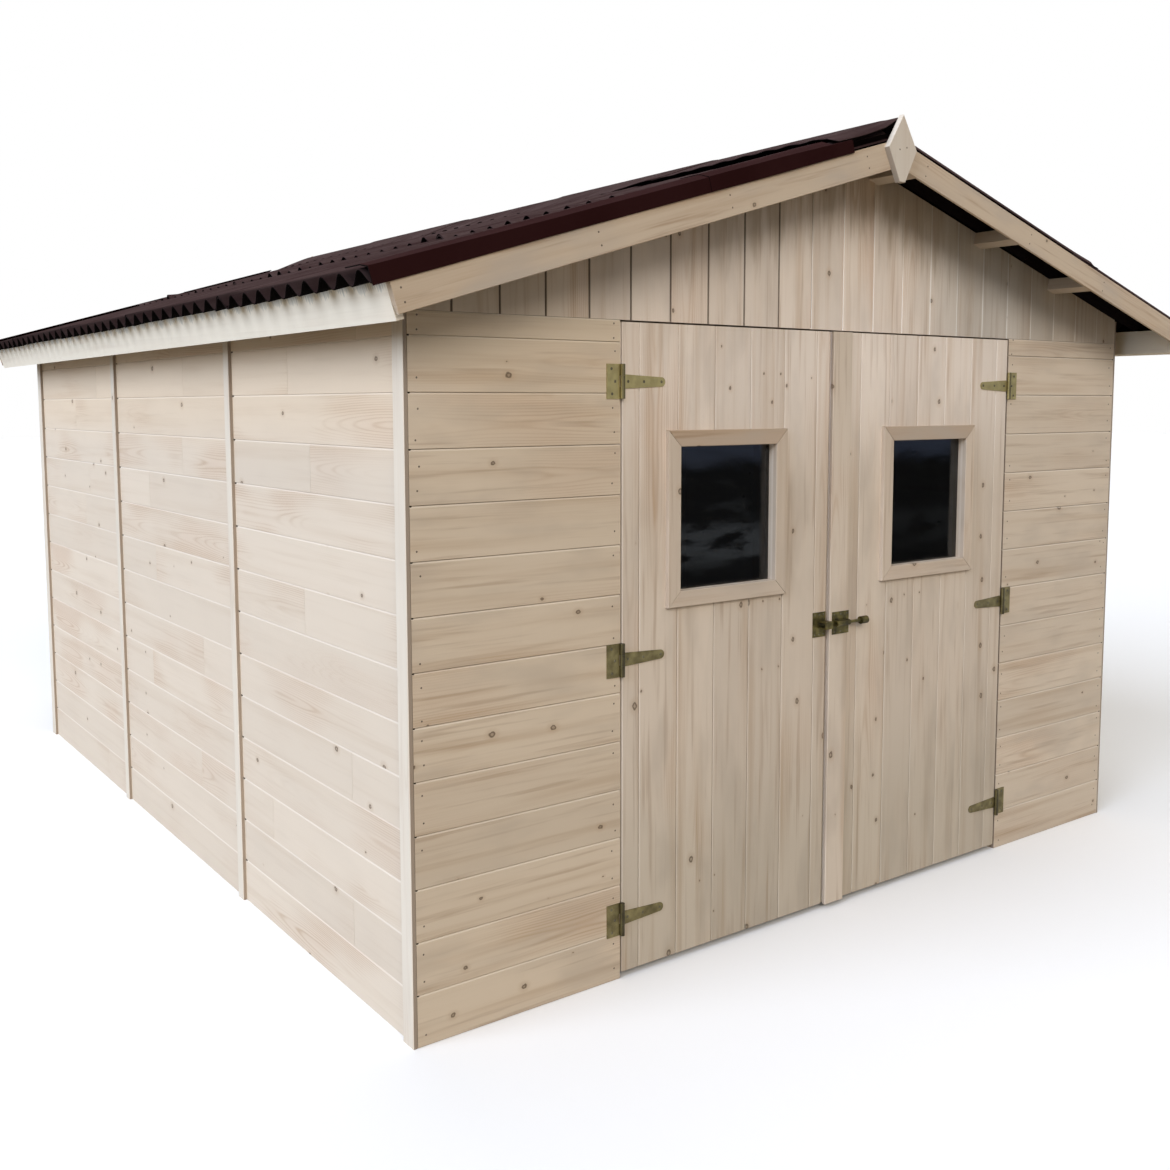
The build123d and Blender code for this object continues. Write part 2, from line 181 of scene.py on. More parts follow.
purlin_run_shares = (0.072, 0.391, 0.65)

sin_pitch = math.sin(roof_pitch)
cos_pitch = math.cos(roof_pitch)
tan_pitch = math.tan(roof_pitch)

# Places read from the frame
gable_low, gable_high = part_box("front_gable")
wall_x = gable_high[0]
wall_y = -gable_low[1]
wall_top = gable_low[2]
apex = gable_high[2]
board_depth = gable_high[1] - gable_low[1]
inner_y = wall_y - board_depth
inner_x = wall_x - board_depth
side_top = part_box("left_wall_front")[1][2]
verge_y = -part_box("front_bargeboards")[0][1]
eave_x = wall_x + eave_overhang
sheet_eave_x = eave_x + sheet_eave_reach
slope_length = sheet_eave_x / cos_pitch
wave_count = round(2 * verge_y / wave_pitch)
wave_step = 2 * verge_y / wave_count
cap_low, cap_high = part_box("ridge_cap")
cap_reach = -cap_low[0]
cap_top = cap_high[2]
cap_fall = (cap_top - sheet_thickness - cap_low[2]) / cap_reach
fascia_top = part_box("left_fascia")[1][2]


# Shaders
class Value:
    """A number that a shader works out at each point; sums and products of it add math nodes."""

    def __init__(self, shader, socket):
        self.shader = shader
        self.socket = socket

    def math(self, operation, *others):
        return self.shader.number("Math", self, *others, operation=operation)

    __add__ = partialmethod(math, "ADD")
    __sub__ = partialmethod(math, "SUBTRACT")
    __rsub__ = partialmethod(math, "MULTIPLY_ADD", -1.0)
    __mul__ = partialmethod(math, "MULTIPLY")
    __truediv__ = partialmethod(math, "DIVIDE")
    __abs__ = partialmethod(math, "ABSOLUTE")

    def ramp(self, low, high, to_low=0.0, to_high=1.0):
        """A smooth rise from to_low at low to to_high at high, level beyond both."""
        limits = (low, high, to_low, to_high)
        return self.shader.number("MapRange", self, *limits, interpolation_type="SMOOTHSTEP")


class Shader:
    """The nodes of a material or of the sky, added and wired up by short calls."""

    def __init__(self, owner, surface="Principled BSDF"):
        owner.use_nodes = True
        self.owner = owner
        self.tree = owner.node_tree
        self.surface = self.tree.nodes[surface]

    def feed(self, socket, value):
        """Wires or sets an input; a colour is three numbers."""
        if isinstance(value, Value):
            value = value.socket
        if isinstance(value, bpy.types.NodeSocket):
            self.tree.links.new(value, socket)
        else:
            socket.default_value = (*value, 1.0) if isinstance(value, tuple) else value

    def put(self, name, value):
        self.feed(self.surface.inputs[name], value)

    def node(self, kind, *values, **settings):
        """A node with its first inputs fed in order; a setting named like an input feeds that one."""
        made = self.tree.nodes.new("ShaderNode" + kind)
        for key, value in settings.items():
            if key in made.inputs:
                self.feed(made.inputs[key], value)
            else:
                setattr(made, key, value)
        for socket, value in zip(made.inputs, values):
            self.feed(socket, value)
        return made

    def number(self, kind, *values, **settings):
        return Value(self, self.node(kind, *values, **settings).outputs[0])

    def noise(self, vector, scale=1.0, detail=2.0, roughness=0.5):
        return self.number("TexNoise", Vector=vector, Scale=scale, Detail=detail, Roughness=roughness)

    def join(self, x, y, z):
        return self.node("CombineXYZ", x, y, z).outputs[0]

    def split(self, vector):
        return [Value(self, output) for output in self.node("SeparateXYZ", vector).outputs]

    def blend(self, share, first, second, how="MIX"):
        made = self.node("Mix", share, data_type="RGBA", blend_type=how)
        self.feed(made.inputs[6], first)
        self.feed(made.inputs[7], second)
        return made.outputs[2]

    def tint(self, share, colour, by):
        return self.blend(share, colour, by, "MULTIPLY")

    def place(self):
        return self.node("TexCoord").outputs["Object"]

    def axes(self):
        return self.split(self.place())

    def facing(self, axis):
        """How far a face looks along the axis of this number, from -1 to 1."""
        return self.split(self.node("NewGeometry").outputs["Normal"])[axis]

    def finish(self, colour, roughness, bump=None):
        """The owner with its surface set; bump is a height with its strength and depth."""
        self.put("Base Color", colour)
        self.put("Roughness", roughness)
        if bump:
            height, strength, depth = bump
            made = self.node("Bump", Strength=strength, Distance=depth, Height=height)
            self.put("Normal", made.outputs[0])
        return self.owner


def new_material(name):
    return Shader(bpy.data.materials.new(name))


# Wood: plain-sawn softwood, grain running along each stick
ring_pitch = 0.0085
knot_places_per_metre = 7.0
stick_spread = 61.0
dark_wood = (0.48, 0.35, 0.235)
pink_wood = (0.6, 0.44, 0.33)
resin_brown = (0.38, 0.265, 0.175)
weather_grey = (0.48, 0.41, 0.34)
knot_brown = (0.12, 0.08, 0.048)
# Painted highlight for the bevels of board joints, where light would catch them
painted_bevel_highlight = (0.95, 0.9, 0.83)
# Painted shade for the walls of open grooves
painted_groove_shade = (0.11, 0.08, 0.052)


class Grain:
    """A point's place in its stick: along it, from a far start of the stick's own, across and into it."""

    def __init__(self, shader, axis):
        self.shader = shader
        if axis:
            x, y, z = shader.axes()
            self.place = shader.join(*{"Y": (y, z, x), "Z": (z, x, y)}[axis])
            seed = shader.node("NewGeometry").outputs["Random Per Island"]
        else:
            self.place = shader.node("Attribute", attribute_name="grain").outputs["Vector"]
            seed = shader.node("Attribute", attribute_name="seed").outputs["Fac"]
        along, self.across, self.depth = shader.split(self.place)
        self.own = shader.number("TexWhiteNoise", noise_dimensions="1D", W=seed)
        self.far = Value(shader, seed) * stick_spread
        self.along = along + self.far

    def noise(self, along_scale, across_scale, detail=2.0, roughness=0.5):
        place = self.shader.join(self.along * along_scale, self.across * across_scale, self.far)
        return self.shader.noise(place, 1.0, detail, roughness)


def wood(
    name, pale, axis=None, knots=0.82, tone_spread=0.05, ring_strength=0.5, smear=0.3, edge=None, stain=None
):
    """Softwood; knots is the share of places left clear, edge the share and colour painted on joints' bevels
    and groove walls: a painted highlight or painted shade.
    """
    shader = new_material(name)
    grain = Grain(shader, axis)
    fibre = grain.noise(4.0, 260.0)
    patch = grain.noise(1.6, 4.0)
    ring_tone = growth_rings(shader, grain) * (patch.ramp(0.42, 0.68) * grain.own * ring_strength)
    streak = grain.noise(0.9, 24.0, 3.0, 0.55).ramp(0.42, 0.78, -0.02, 0.2 + 0.6 * smear)
    tone = ring_tone + (fibre * 0.1 + streak)
    colour = shader.blend(tone.ramp(0.0, 1.0), pale, dark_wood)
    own_tone = grain.own * (2 * tone_spread) + (1.0 - tone_spread)
    colour = shader.tint(1.0, colour, shader.join(own_tone, own_tone, own_tone))
    colour = shader.blend(patch.ramp(0.48, 0.72, 0.0, 0.4) * grain.own, colour, pink_wood)
    colour = shader.blend(grain.noise(2.4, 58.0, 3.0).ramp(0.54, 0.74, 0.0, smear), colour, resin_brown)
    colour = shader.blend(grain.noise(3.0, 9.0, 3.0).ramp(0.46, 0.74, 0.0, smear), colour, weather_grey)
    colour = knotted(shader, colour, grain, knots)
    # Painted highlight or painted shade on the bevels and groove walls of the joints
    if edge:
        edge_share, edge_colour = edge
        sunk = board_depth - grain.depth
        on_board = sunk.math("LESS_THAN", groove_depth + groove_slack)
        colour = shader.blend(sunk.ramp(0.0001, 0.0005, 0.0, edge_share) * on_board, colour, edge_colour)
    if stain:
        colour = stain(shader, colour)
    height = ring_tone * -0.6 + fibre * 0.6
    return shader.finish(colour, tone * 0.12 + 0.68, (height, 0.22, 0.0005))


def growth_rings(shader, grain):
    """Late wood lines of a board sawn past the pith, which drifts nearer and farther along the board."""
    pith_depth = shader.noise(shader.join(grain.along, grain.far, 0.0), 0.8, 1.0) * 0.18 - 0.03
    wobble = shader.noise(shader.join(grain.along, grain.across * 2.0, grain.far), 4.0) * 0.01 - 0.005
    side = (grain.across + (grain.own * 0.05 - 0.025)) * 1.6
    radius = (pith_depth * pith_depth + side * side).math("SQRT") + wobble
    turn = (radius * (2 * math.pi / ring_pitch)).math("SINE")
    return (turn * 0.5 + 0.5).math("POWER", 2.6)


def knotted(shader, colour, grain, knots):
    """Small ragged knots, the large ones with a paler heart."""
    place = shader.join(grain.along * 0.75, grain.across + grain.far, 0.0)
    spots = shader.node("TexVoronoi", voronoi_dimensions="2D", Vector=place, Scale=knot_places_per_metre)
    pick, size_pick, _ = shader.split(spots.outputs["Color"])
    chosen = pick.math("GREATER_THAN", knots)
    ragged = shader.noise(grain.place, 110.0, 3.0) * 0.05 + spots.outputs["Distance"] - 0.016
    close = ragged / (size_pick * 0.05 + 0.018)
    colour = shader.blend(close.ramp(2.8, 1.0, 0.0, 0.32) * chosen, colour, dark_wood)
    heart = close.ramp(0.75, 0.35) * size_pick
    core = close.ramp(1.15, 0.8) * chosen
    return shader.blend(core * (heart * -0.55 + 0.9), colour, knot_brown)


# Weather, and painted light and shade: ranges in metres up the walls (rise) and out from the middle (aside)
foot_shade_rise = (0.75, 0.2)
painted_light_rise = (1.25, 1.75)
painted_light_aside = (1.15, 0.75)
ridge_run_aside = (0.75, 0.25)
left_painted_light_rise = (1.45, 1.72)
sheltered_rise = (1.38, 1.62)
hinge_worn_rise = (1.6, 1.0)
hinge_knuckle_shade = (0.0075, 0.004)
soaked_eave = 0.075


def painted_light_high_shade_low(shader, colour):
    """Painted light high up on the doors and the middle of the gable, paler and greyer there; painted shade
    at the doors' feet, duller there.
    """
    x, _, z = shader.axes()
    # Painted shade, darker towards the doors' feet
    colour = shader.tint(z.ramp(*foot_shade_rise), colour, (0.84, 0.85, 0.83))
    # Painted light, paler high up in the middle
    high = z.ramp(*painted_light_rise) * abs(x).ramp(*painted_light_aside)
    return shader.tint(high, colour, (1.32, 1.37, 1.48))


def rain_marked_and_shaded(shader, colour):
    """Gable boards with the doors' painted light, brown runs under the ridge, and painted shade on the right
    over the right door's hinges.
    """
    colour = painted_light_high_shade_low(shader, colour)
    x, _, z = shader.axes()
    aside = abs(x)
    drop = aside * -tan_pitch + apex - z
    reach = shader.noise(shader.join(x * 26.0, 0.0, z * 3.0), 1.0, 3.0, 0.6) * 0.6 - 0.14
    wet = (reach - drop).ramp(-0.1, 0.1, 0.0, 0.8) * aside.ramp(*ridge_run_aside)
    colour = shader.tint(wet, colour, (0.6, 0.54, 0.45))
    # Painted shade over the right half of the gable
    right = x.ramp(0.2, 0.65) * x.ramp(1.25, 0.9, 0.2, 1.0)
    return shader.tint(right, colour, (0.68, 0.7, 0.7))


def yellowed_with_painted_light(shader, colour):
    """A little yellower on the left panel and, high up on it, paler with painted light; painted shade on the
    boards' end faces.
    """
    x, _, z = shader.axes()
    # Painted shade on the faces that look along x
    colour = narrow_face_shade(0)(shader, colour)
    left = x.math("LESS_THAN", 0.0)
    colour = shader.tint(left, colour, (0.985, 0.965, 0.925))
    # Painted light high up on the left panel
    return shader.tint(z.ramp(*left_painted_light_rise) * left, colour, (1.2, 1.22, 1.24))


def sheltered(shader, colour):
    """Tan boards under the eaves, which rain and sun have not reached."""
    _, _, z = shader.axes()
    return shader.tint(z.ramp(*sheltered_rise), colour, (1.06, 1.01, 0.94))


def drip_stain_and_shade(shader, colour):
    """Short ragged grey-green runs on the outer face under the sheets, longest under each crest: partly real
    stain, partly painted shade from the sheets' edge, darkest just under it.
    """
    x, y, z = shader.axes()
    phase = ((y + verge_y) / wave_step).math("FRACT")
    tooth = abs(phase * 2.0 - 1.0)
    fine = shader.noise(shader.join(0.0, y * 120.0, z * 14.0), 1.0, 3.0, 0.7)
    slow = shader.noise(shader.join(0.0, y * 7.0, 0.0))
    reach = tooth * -0.016 + (fine * 0.044 + (slow * 0.034 - 0.014))
    below = reach - (fascia_top - z)
    outer = (shader.facing(0) * x.math("SIGN")).math("GREATER_THAN", 0.3)
    colour = shader.blend(below.ramp(-0.005, 0.003, 0.0, 0.48) * outer, colour, (0.39, 0.405, 0.375))
    # Painted shade in the darkest band just under the sheets
    return shader.blend(below.ramp(0.002, 0.016, 0.0, 0.5) * outer, colour, (0.15, 0.15, 0.13))


def narrow_face_shade(axis, most=0.8):
    """Painted shade on the narrow faces of a strip, which look along the axis of this number."""

    def stain(shader, colour):
        share = abs(shader.facing(axis)).ramp(0.8, 0.95, 0.0, most)
        return shader.blend(share, colour, (0.26, 0.195, 0.145))

    return stain


def underside_shade(shader, colour):
    """Painted shade on the edges that look down."""
    return shader.blend(shader.facing(2).ramp(-0.15, -0.35, 0.0, 0.7), colour, (0.26, 0.195, 0.135))


def bitumen(name, deep, worn, gloss=0.05, eave_dark=0.0):
    """Fibrous coated sheet; eave_dark is how much darker its last stretch at the eaves is."""
    shader = new_material(name)
    place = shader.place()
    x, y, z = shader.split(place)
    blotch = shader.noise(place, 5.0, 4.0, 0.6)
    fibre = shader.noise(place, 420.0, 3.0, 0.7)
    drawn = shader.noise(shader.join(x * 0.6, y * 24.0, z), 2.0, 3.0)
    faded = blotch.ramp(0.3, 0.75, 0.0, 0.5) + drawn.ramp(0.4, 0.8, 0.0, 0.5)
    colour = shader.blend(faded, deep, worn)
    colour = shader.blend(fibre.ramp(0.6, 0.78, 0.0, 0.35), colour, worn)
    if eave_dark:
        near = blotch * 0.04 + abs(x)
        soaked = near.ramp(sheet_eave_x - soaked_eave, sheet_eave_x, 0.0, eave_dark)
        colour = shader.blend(soaked, colour, (0.009, 0.005, 0.005))
    # Painted shade: faces that look down are made nearly black
    colour = shader.blend(shader.facing(2).ramp(0.0, -0.3, 0.0, 0.9), colour, (0.002, 0.002, 0.002))
    shader.put("Specular IOR Level", gloss)
    return shader.finish(colour, fibre * 0.15 + 0.8, (fibre, 0.35, 0.0008))


def zinc(name, bright, dull, hinge=False):
    """Yellow-passivated steel; hinges are duller low down, with painted shade in the knuckle."""
    shader = new_material(name)
    place = shader.place()
    x, _, z = shader.split(place)
    cloud = shader.noise(place, 38.0, 3.0)
    worn = cloud.ramp(0.25, 0.75)
    if hinge:
        worn = worn * 0.35 + z.ramp(*hinge_worn_rise, 0.0, 0.58)
    colour = shader.blend(worn, bright, dull)
    if hinge:
        # Painted shade along the knuckle
        off = abs(abs(x - hinge_middle) - hinge_half_span)
        colour = shader.blend(off.ramp(*hinge_knuckle_shade, 0.0, 0.75), colour, (0.012, 0.01, 0.006))
    shader.put("Metallic", 0.75)
    return shader.finish(colour, cloud * 0.25 + 0.34, (shader.noise(place, 700.0), 0.08, 0.0004))


def pane_glass(name):
    shader = new_material(name)
    shader.put("Transmission Weight", 1.0)
    shader.put("IOR", 1.45)
    smear = shader.noise(shader.place(), 9.0, 3.0)
    return shader.finish((0.4, 0.43, 0.45), smear.ramp(0.45, 0.8, 0.0, 0.035))


# Materials
pale_wood = (0.69, 0.595, 0.485)
door_pale = (0.69, 0.6, 0.505)
side_wood = wood(
    "side_board_softwood", pale_wood,
    knots=0.78, tone_spread=0.04, ring_strength=0.7, smear=0.08, edge=(0.26, painted_bevel_highlight), stain=sheltered,
)
wall_wood = wood(
    "wall_board_softwood", pale_wood,
    knots=0.64, tone_spread=0.08, ring_strength=0.6, smear=0.46, edge=(0.26, painted_bevel_highlight), stain=yellowed_with_painted_light,
)
door_wood = wood(
    "door_board_softwood", door_pale,
    knots=0.4, tone_spread=0.09, ring_strength=0.6, smear=0.48, edge=(0.2, painted_bevel_highlight), stain=painted_light_high_shade_low,
)
meeting_wood = wood("meeting_strip_softwood", door_pale, smear=0.48, stain=narrow_face_shade(0, 0.5))
gable_wood = wood(
    "gable_board_softwood", door_pale,
    knots=0.5, ring_strength=0.6, smear=0.4, edge=(0.6, painted_bevel_highlight), stain=rain_marked_and_shaded,
)
# Gable boards whose open grooves carry painted shade
groove_shaded_gable_wood = wood(
    "groove_shaded_gable_softwood", door_pale,
    knots=0.5, ring_strength=0.6, smear=0.45, edge=(0.75, painted_groove_shade), stain=rain_marked_and_shaded,
)
trim_wood = wood("trim_softwood", (0.73, 0.66, 0.56), knots=0.9, smear=0.15, stain=narrow_face_shade(1))
barge_wood = wood("barge_softwood", (0.61, 0.5, 0.38), knots=0.48, ring_strength=2.0, smear=0.85)
window_wood = wood("window_frame_softwood", (0.66, 0.56, 0.46), tone_spread=0.08, smear=0.5)
window_head_wood = wood("window_head_softwood", (0.52, 0.41, 0.315), smear=0.8)
frame_wood = wood("frame_softwood", (0.6, 0.48, 0.34), knots=0.88)
purlin_wood = wood("purlin_softwood", (0.6, 0.51, 0.41), "Y", knots=0.9)
finial_wood = wood("finial_softwood", (0.69, 0.625, 0.54), "Z", knots=0.97, smear=0.15, stain=underside_shade)
fascia_wood = wood(
    "fascia_softwood", (0.95, 0.88, 0.745), "Y",
    knots=0.9, tone_spread=0.03, ring_strength=0.1, smear=0.06, stain=drip_stain_and_shade,
)
roof_bitumen = bitumen("roof_bitumen", (0.031, 0.0155, 0.0155), (0.084, 0.056, 0.053), 0.02, 0.7)
trim_bitumen = bitumen("verge_trim_brown", (0.019, 0.0048, 0.0048), (0.028, 0.009, 0.0092), 0.03)
# Near-black and without gloss: painted shade for the gaps under the ridge cap and over the fascia
shade_filler_bitumen = bitumen("closure_shade_black", (0.003, 0.002, 0.002), (0.006, 0.004, 0.004), 0.0)
hinge_zinc = zinc("yellow_zinc", (0.47, 0.395, 0.175), (0.082, 0.065, 0.026), hinge=True)
bolt_zinc = zinc("dull_yellow_zinc", (0.165, 0.135, 0.04), (0.026, 0.021, 0.008))
screw_zinc = zinc("screw_zinc", (0.16, 0.14, 0.08), (0.07, 0.06, 0.04))
nail_steel = zinc("nail_steel", (0.2, 0.155, 0.115), (0.1, 0.08, 0.06))
groove_dark = bitumen("groove_shadow", (0.03, 0.022, 0.015), (0.06, 0.045, 0.032))
window_glass = pane_glass("window_glass")


# Joined meshes
def new_object(name, data):
    made = bpy.data.objects.new(name, data)
    bpy.context.scene.collection.objects.link(made)
    return made


class Pile:
    """Corners and faces of one joined mesh, with each corner's place in its stick's grain."""

    def __init__(self):
        self.corners = []
        self.faces = []
        self.grain = []
        self.seeds = []

    def add(self, corners, faces, grain=None, seed=0.0):
        first = len(self.corners)
        self.corners += [tuple(corner) for corner in corners]
        self.faces += [tuple(first + index for index in face) for face in faces]
        self.grain += grain or [(0.0, 0.0, 0.0)] * len(corners)
        self.seeds += [seed] * len(corners)

    def make(self, name, material, nodes=(), body="shed", smooth=False):
        """The piece itself, riding on a body in place of the CAD nodes named."""
        mesh = bpy.data.meshes.new(name)
        mesh.from_pydata(self.corners, [], self.faces)
        turned = bmesh.new()
        turned.from_mesh(mesh)
        bmesh.ops.recalc_face_normals(turned, faces=turned.faces)
        turned.to_mesh(mesh)
        turned.free()
        places = mesh.attributes.new("grain", "FLOAT_VECTOR", "POINT")
        places.data.foreach_set("vector", np.array(self.grain, dtype=np.float32).ravel())
        seeds = mesh.attributes.new("seed", "FLOAT", "POINT")
        seeds.data.foreach_set("value", np.array(self.seeds, dtype=np.float32))
        mesh.materials.append(material)
        mesh.polygons.foreach_set("use_smooth", [smooth] * len(mesh.polygons))
        piece = new_object(name, mesh)
        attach(piece, body)
        if nodes:
            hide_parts(*nodes)


def chance():
    return float(draw.random())


def loft(pile, rows, grain=None, seed=0.0):
    """A closed skin through rows of corners, one section after the other."""
    count = len(rows[0])
    corners = [corner for row in rows for corner in row]
    last = len(corners) - count
    faces = [tuple(range(count)), tuple(range(last, len(corners)))]
    for first in range(0, last, count):
        for index in range(count):
            after = (index + 1) % count
            faces.append((first + index, first + after, first + count + after, first + count + index))
    pile.add(corners, faces, grain, seed)


def carry(pile, place, section, start, end, seed):
    """One closed stick: section points (across, out) carried from start to end, which may lean across."""
    middle = (min(point[0] for point in section) + max(point[0] for point in section)) / 2
    rows = []
    grain = []
    for reach in (start, end):
        points = [(reach(across) if callable(reach) else reach, across, out) for across, out in section]
        rows.append([place(*point) for point in points])
        grain += [(along, across - middle, out) for along, across, out in points]
    loft(pile, rows, grain, seed)


def jointed_edge(edge, inward, gap, bevel):
    """Section points of a grooved board edge with its bevel, from the back face to the front."""
    lip = edge + inward * gap / 2
    step = board_depth - groove_depth
    width, fall = bevel
    return [
        (edge, 0.0), (edge, step), (lip, step), (lip, board_depth - fall), (lip + inward * width, board_depth)
    ]


def board_section(low, high, joint, low_jointed=True, high_jointed=True):
    low_edge = [(low, 0.0), (low, board_depth)]
    high_edge = [(high, 0.0), (high, board_depth)]
    if low_jointed:
        low_edge = jointed_edge(low, 1, joint["gap"], joint["low"])
    if high_jointed:
        high_edge = jointed_edge(high, -1, joint["gap"], joint["high"])
    return low_edge + high_edge[::-1]


def stick_section(low, high, depth):
    """Section points of a strip with eased front edges."""
    left = [(low, 0.0), (low, depth - stick_bevel), (low + stick_bevel, depth)]
    right = [(high - stick_bevel, depth), (high, depth - stick_bevel), (high, 0.0)]
    return left + right


def seams_between(low, high, start, cover):
    first = math.ceil((low - start) / cover + narrowest_board_share)
    last = math.floor((high - start) / cover - narrowest_board_share)
    return [low] + [start + cover * count for count in range(first, last + 1)] + [high]


def level_seams(top):
    return seams_between(0.0, top, 0.0, wall_board_cover)


def boarding(pile, place, seams, start, end, joint, hole=None, butts=0.0):
    """Boards side by side from seam to seam, with one kind of joint between them.

    hole is (low, high, from, to), butts the share of boards made of two lengths.
    """
    for low, high in zip(seams, seams[1:]):
        seed = chance()
        if butts and chance() < butts:
            meeting = start + (end - start) * float(draw.uniform(*butt_range))
            section = board_section(low, high, joint)
            carry(pile, place, section, start, meeting - butt_gap / 2, seed)
            carry(pile, place, section, meeting + butt_gap / 2, end, chance())
            continue
        cuts = [low, high]
        if hole:
            cuts += [cut for cut in hole[:2] if low + seam_snap < cut < high - seam_snap]
        cuts.sort()
        for cut_low, cut_high in zip(cuts, cuts[1:]):
            section = board_section(cut_low, cut_high, joint, cut_low == low, cut_high == high)
            if hole and hole[0] < (cut_low + cut_high) / 2 < hole[1]:
                carry(pile, place, section, start, hole[2], seed)
                carry(pile, place, section, hole[3], end, seed)
            else:
                carry(pile, place, section, start, end, seed)


def dome(pile, place, along, across, out, head):
    """A nail or screw head standing on a face."""
    radius, height = head
    corners = [place(along, across, out + height)]
    for share, rise in head_rings:
        for count in range(head_sides):
            angle = 2 * math.pi * count / head_sides
            step = (math.cos(angle) * radius * share, math.sin(angle) * radius * share)
            corners.append(place(along + step[0], across + step[1], out + height * rise))
    faces = []
    for count in range(head_sides):
        after = (count + 1) % head_sides
        faces.append((0, 1 + count, 1 + after))
        for ring in (1, 1 + head_sides):
            faces.append((ring + count, ring + head_sides + count, ring + head_sides + after, ring + after))
    faces.append(tuple(1 + 2 * head_sides + count for count in range(head_sides)))
    pile.add(corners, faces)


def solids_of(node):
    """Lowest and highest corners of each loose solid in a CAD node."""
    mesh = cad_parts[node].data
    keys = [tuple(round(value, corner_digits) for value in vertex.co) for vertex in mesh.vertices]
    groups = {key: {key} for key in keys}
    for edge in mesh.edges:
        first, second = (groups[keys[index]] for index in edge.vertices)
        if first is not second:
            first |= second
            groups.update((key, first) for key in second)
    solids = {id(group): list(group) for group in groups.values()}.values()
    boxes = [(np.min(solid, axis=0), np.max(solid, axis=0)) for solid in solids]
    return sorted(boxes, key=lambda pair: tuple(pair[0]))


def beam(pile, low, high):
    """A straight stick with eased edges and its grain along its longest side."""
    size = np.subtract(high, low)
    thin, wide, run = (int(axis) for axis in np.argsort(size))
    centre = np.add(low, high) / 2
    half_wide = size[wide] / 2
    half_thin = size[thin] / 2

    def place(along, across, out):
        point = centre.copy()
        point[[run, wide, thin]] = (along, centre[wide] + across, centre[thin] + out)
        return point

    section = []
    for side_wide, side_thin in ((-1, -1), (1, -1), (1, 1), (-1, 1)):
        flat = (side_wide * (half_wide - stick_bevel), side_thin * half_thin)
        upright = (side_wide * half_wide, side_thin * (half_thin - stick_bevel))
        section += [upright, flat] if side_wide == side_thin else [flat, upright]
    carry(pile, place, section, low[run], high[run], chance())


def beams(node, material, body="shed"):
    pile = Pile()
    for low, high in solids_of(node):
        beam(pile, low, high)
    pile.make(node + "_timber", material, [node], body)


def roof_line(x):
    return apex - abs(x) * tan_pitch


def on_side(sign):
    return lambda along, across, out: (sign * (inner_x + out), along, across)


def on_end(sign, base=inner_y):
    return lambda along, across, out: (along, sign * (base + out), across)


def on_end_upright(sign, base=inner_y):
    return lambda along, across, out: (across, sign * (base + out), along)


# Boarded walls
def level_boards(node, axis, place, joint, material, butts=0.0):
    low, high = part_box(node)
    pile = Pile()
    seams = level_seams(high[2])
    boarding(pile, place, seams, low[axis] + end_gap, high[axis] - end_gap, joint, butts=butts)
    pile.make(node + "_boards", material, [node])


def gable(node, sign):
    """Upright boards: open joints with painted shade on the left, close ones in the middle, bevels with a
    painted highlight on the right.
    """
    seams = seams_between(-wall_x, wall_x, gable_seam_start, upright_board_cover)
    first = next(count for count, seam in enumerate(seams) if seam > close_gable_from)
    second = next(count for count, seam in enumerate(seams) if seam > pale_gable_from)
    place = on_end_upright(sign)
    pile = Pile()
    boarding(pile, place, seams[: first + 1], wall_top, roof_line, open_gable_joint)
    pile.make(node + "_left_boards", groove_shaded_gable_wood, [node])
    pile = Pile()
    boarding(pile, place, seams[first : second + 1], wall_top, roof_line, upright_joint)
    boarding(pile, place, seams[second:], wall_top, roof_line, pale_gable_joint)
    pile.make(node + "_right_boards", gable_wood)


for side, sign in sides:
    for part in ("front", "middle", "back"):
        level_boards(f"{side}_wall_{part}", 1, on_side(sign), side_joint, side_wood, butt_share)
    for end, end_sign in ends:
        level_boards(f"{end}_wall_{side}", 0, on_end(end_sign), front_joint, wall_wood)
for end, sign in ends:
    gable(end + "_gable", sign)
for node in ("left_cover_strips", "right_cover_strips", "back_cover_strip"):
    beams(node, trim_wood)
for wall, _ in sides + ends:
    beams(wall + "_wall_frame", frame_wood)


# Door leaves, with their window frames and ledges
def leaf(side):
    body = side + "_door"
    low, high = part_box(side + "_door_leaf")
    glass_low, glass_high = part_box(side + "_window_glass")
    left, bottom = (glass_low[axis] + glass_margin for axis in (0, 2))
    right, top = (glass_high[axis] - glass_margin for axis in (0, 2))
    hole = (left, right, bottom, top)
    pile = Pile()
    seams = seams_between(low[0], high[0], door_seam_starts[side], upright_board_cover)
    boarding(pile, on_end_upright(-1), seams, low[2], high[2], upright_joint, hole)
    pile.make(side + "_door_boards", door_wood, [side + "_door_leaf"], body)
    window_frame(side, body, hole)
    beams(side + "_door_ledges", frame_wood, body)


def window_frame(side, body, hole):
    """Four mitred strips round the opening."""
    node = side + "_window_frame"
    low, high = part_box(node)
    left, right, bottom, top = hole
    width = left - low[0]
    thickness = high[1] - low[1]
    pile = Pile()
    head = Pile()

    def strip(target, place, edge, sign, first, last):
        def start(across):
            return first - sign * (across - edge) + mitre_gap

        def end(across):
            return last + sign * (across - edge) - mitre_gap

        section = stick_section(*sorted((edge, edge + sign * width)), thickness)
        carry(target, place, section, start, end, chance())

    strip(pile, on_end(-1, wall_y), bottom, -1, left, right)
    strip(head, on_end(-1, wall_y), top, 1, left, right)
    strip(pile, on_end_upright(-1, wall_y), left, -1, bottom, top)
    strip(pile, on_end_upright(-1, wall_y), right, 1, bottom, top)
    pile.make(node + "_strips", window_wood, [node], body)
    head.make(node + "_head", window_head_wood, body=body)


for side, _ in sides:
    leaf(side)
beams("meeting_strip", meeting_wood, "right_door")


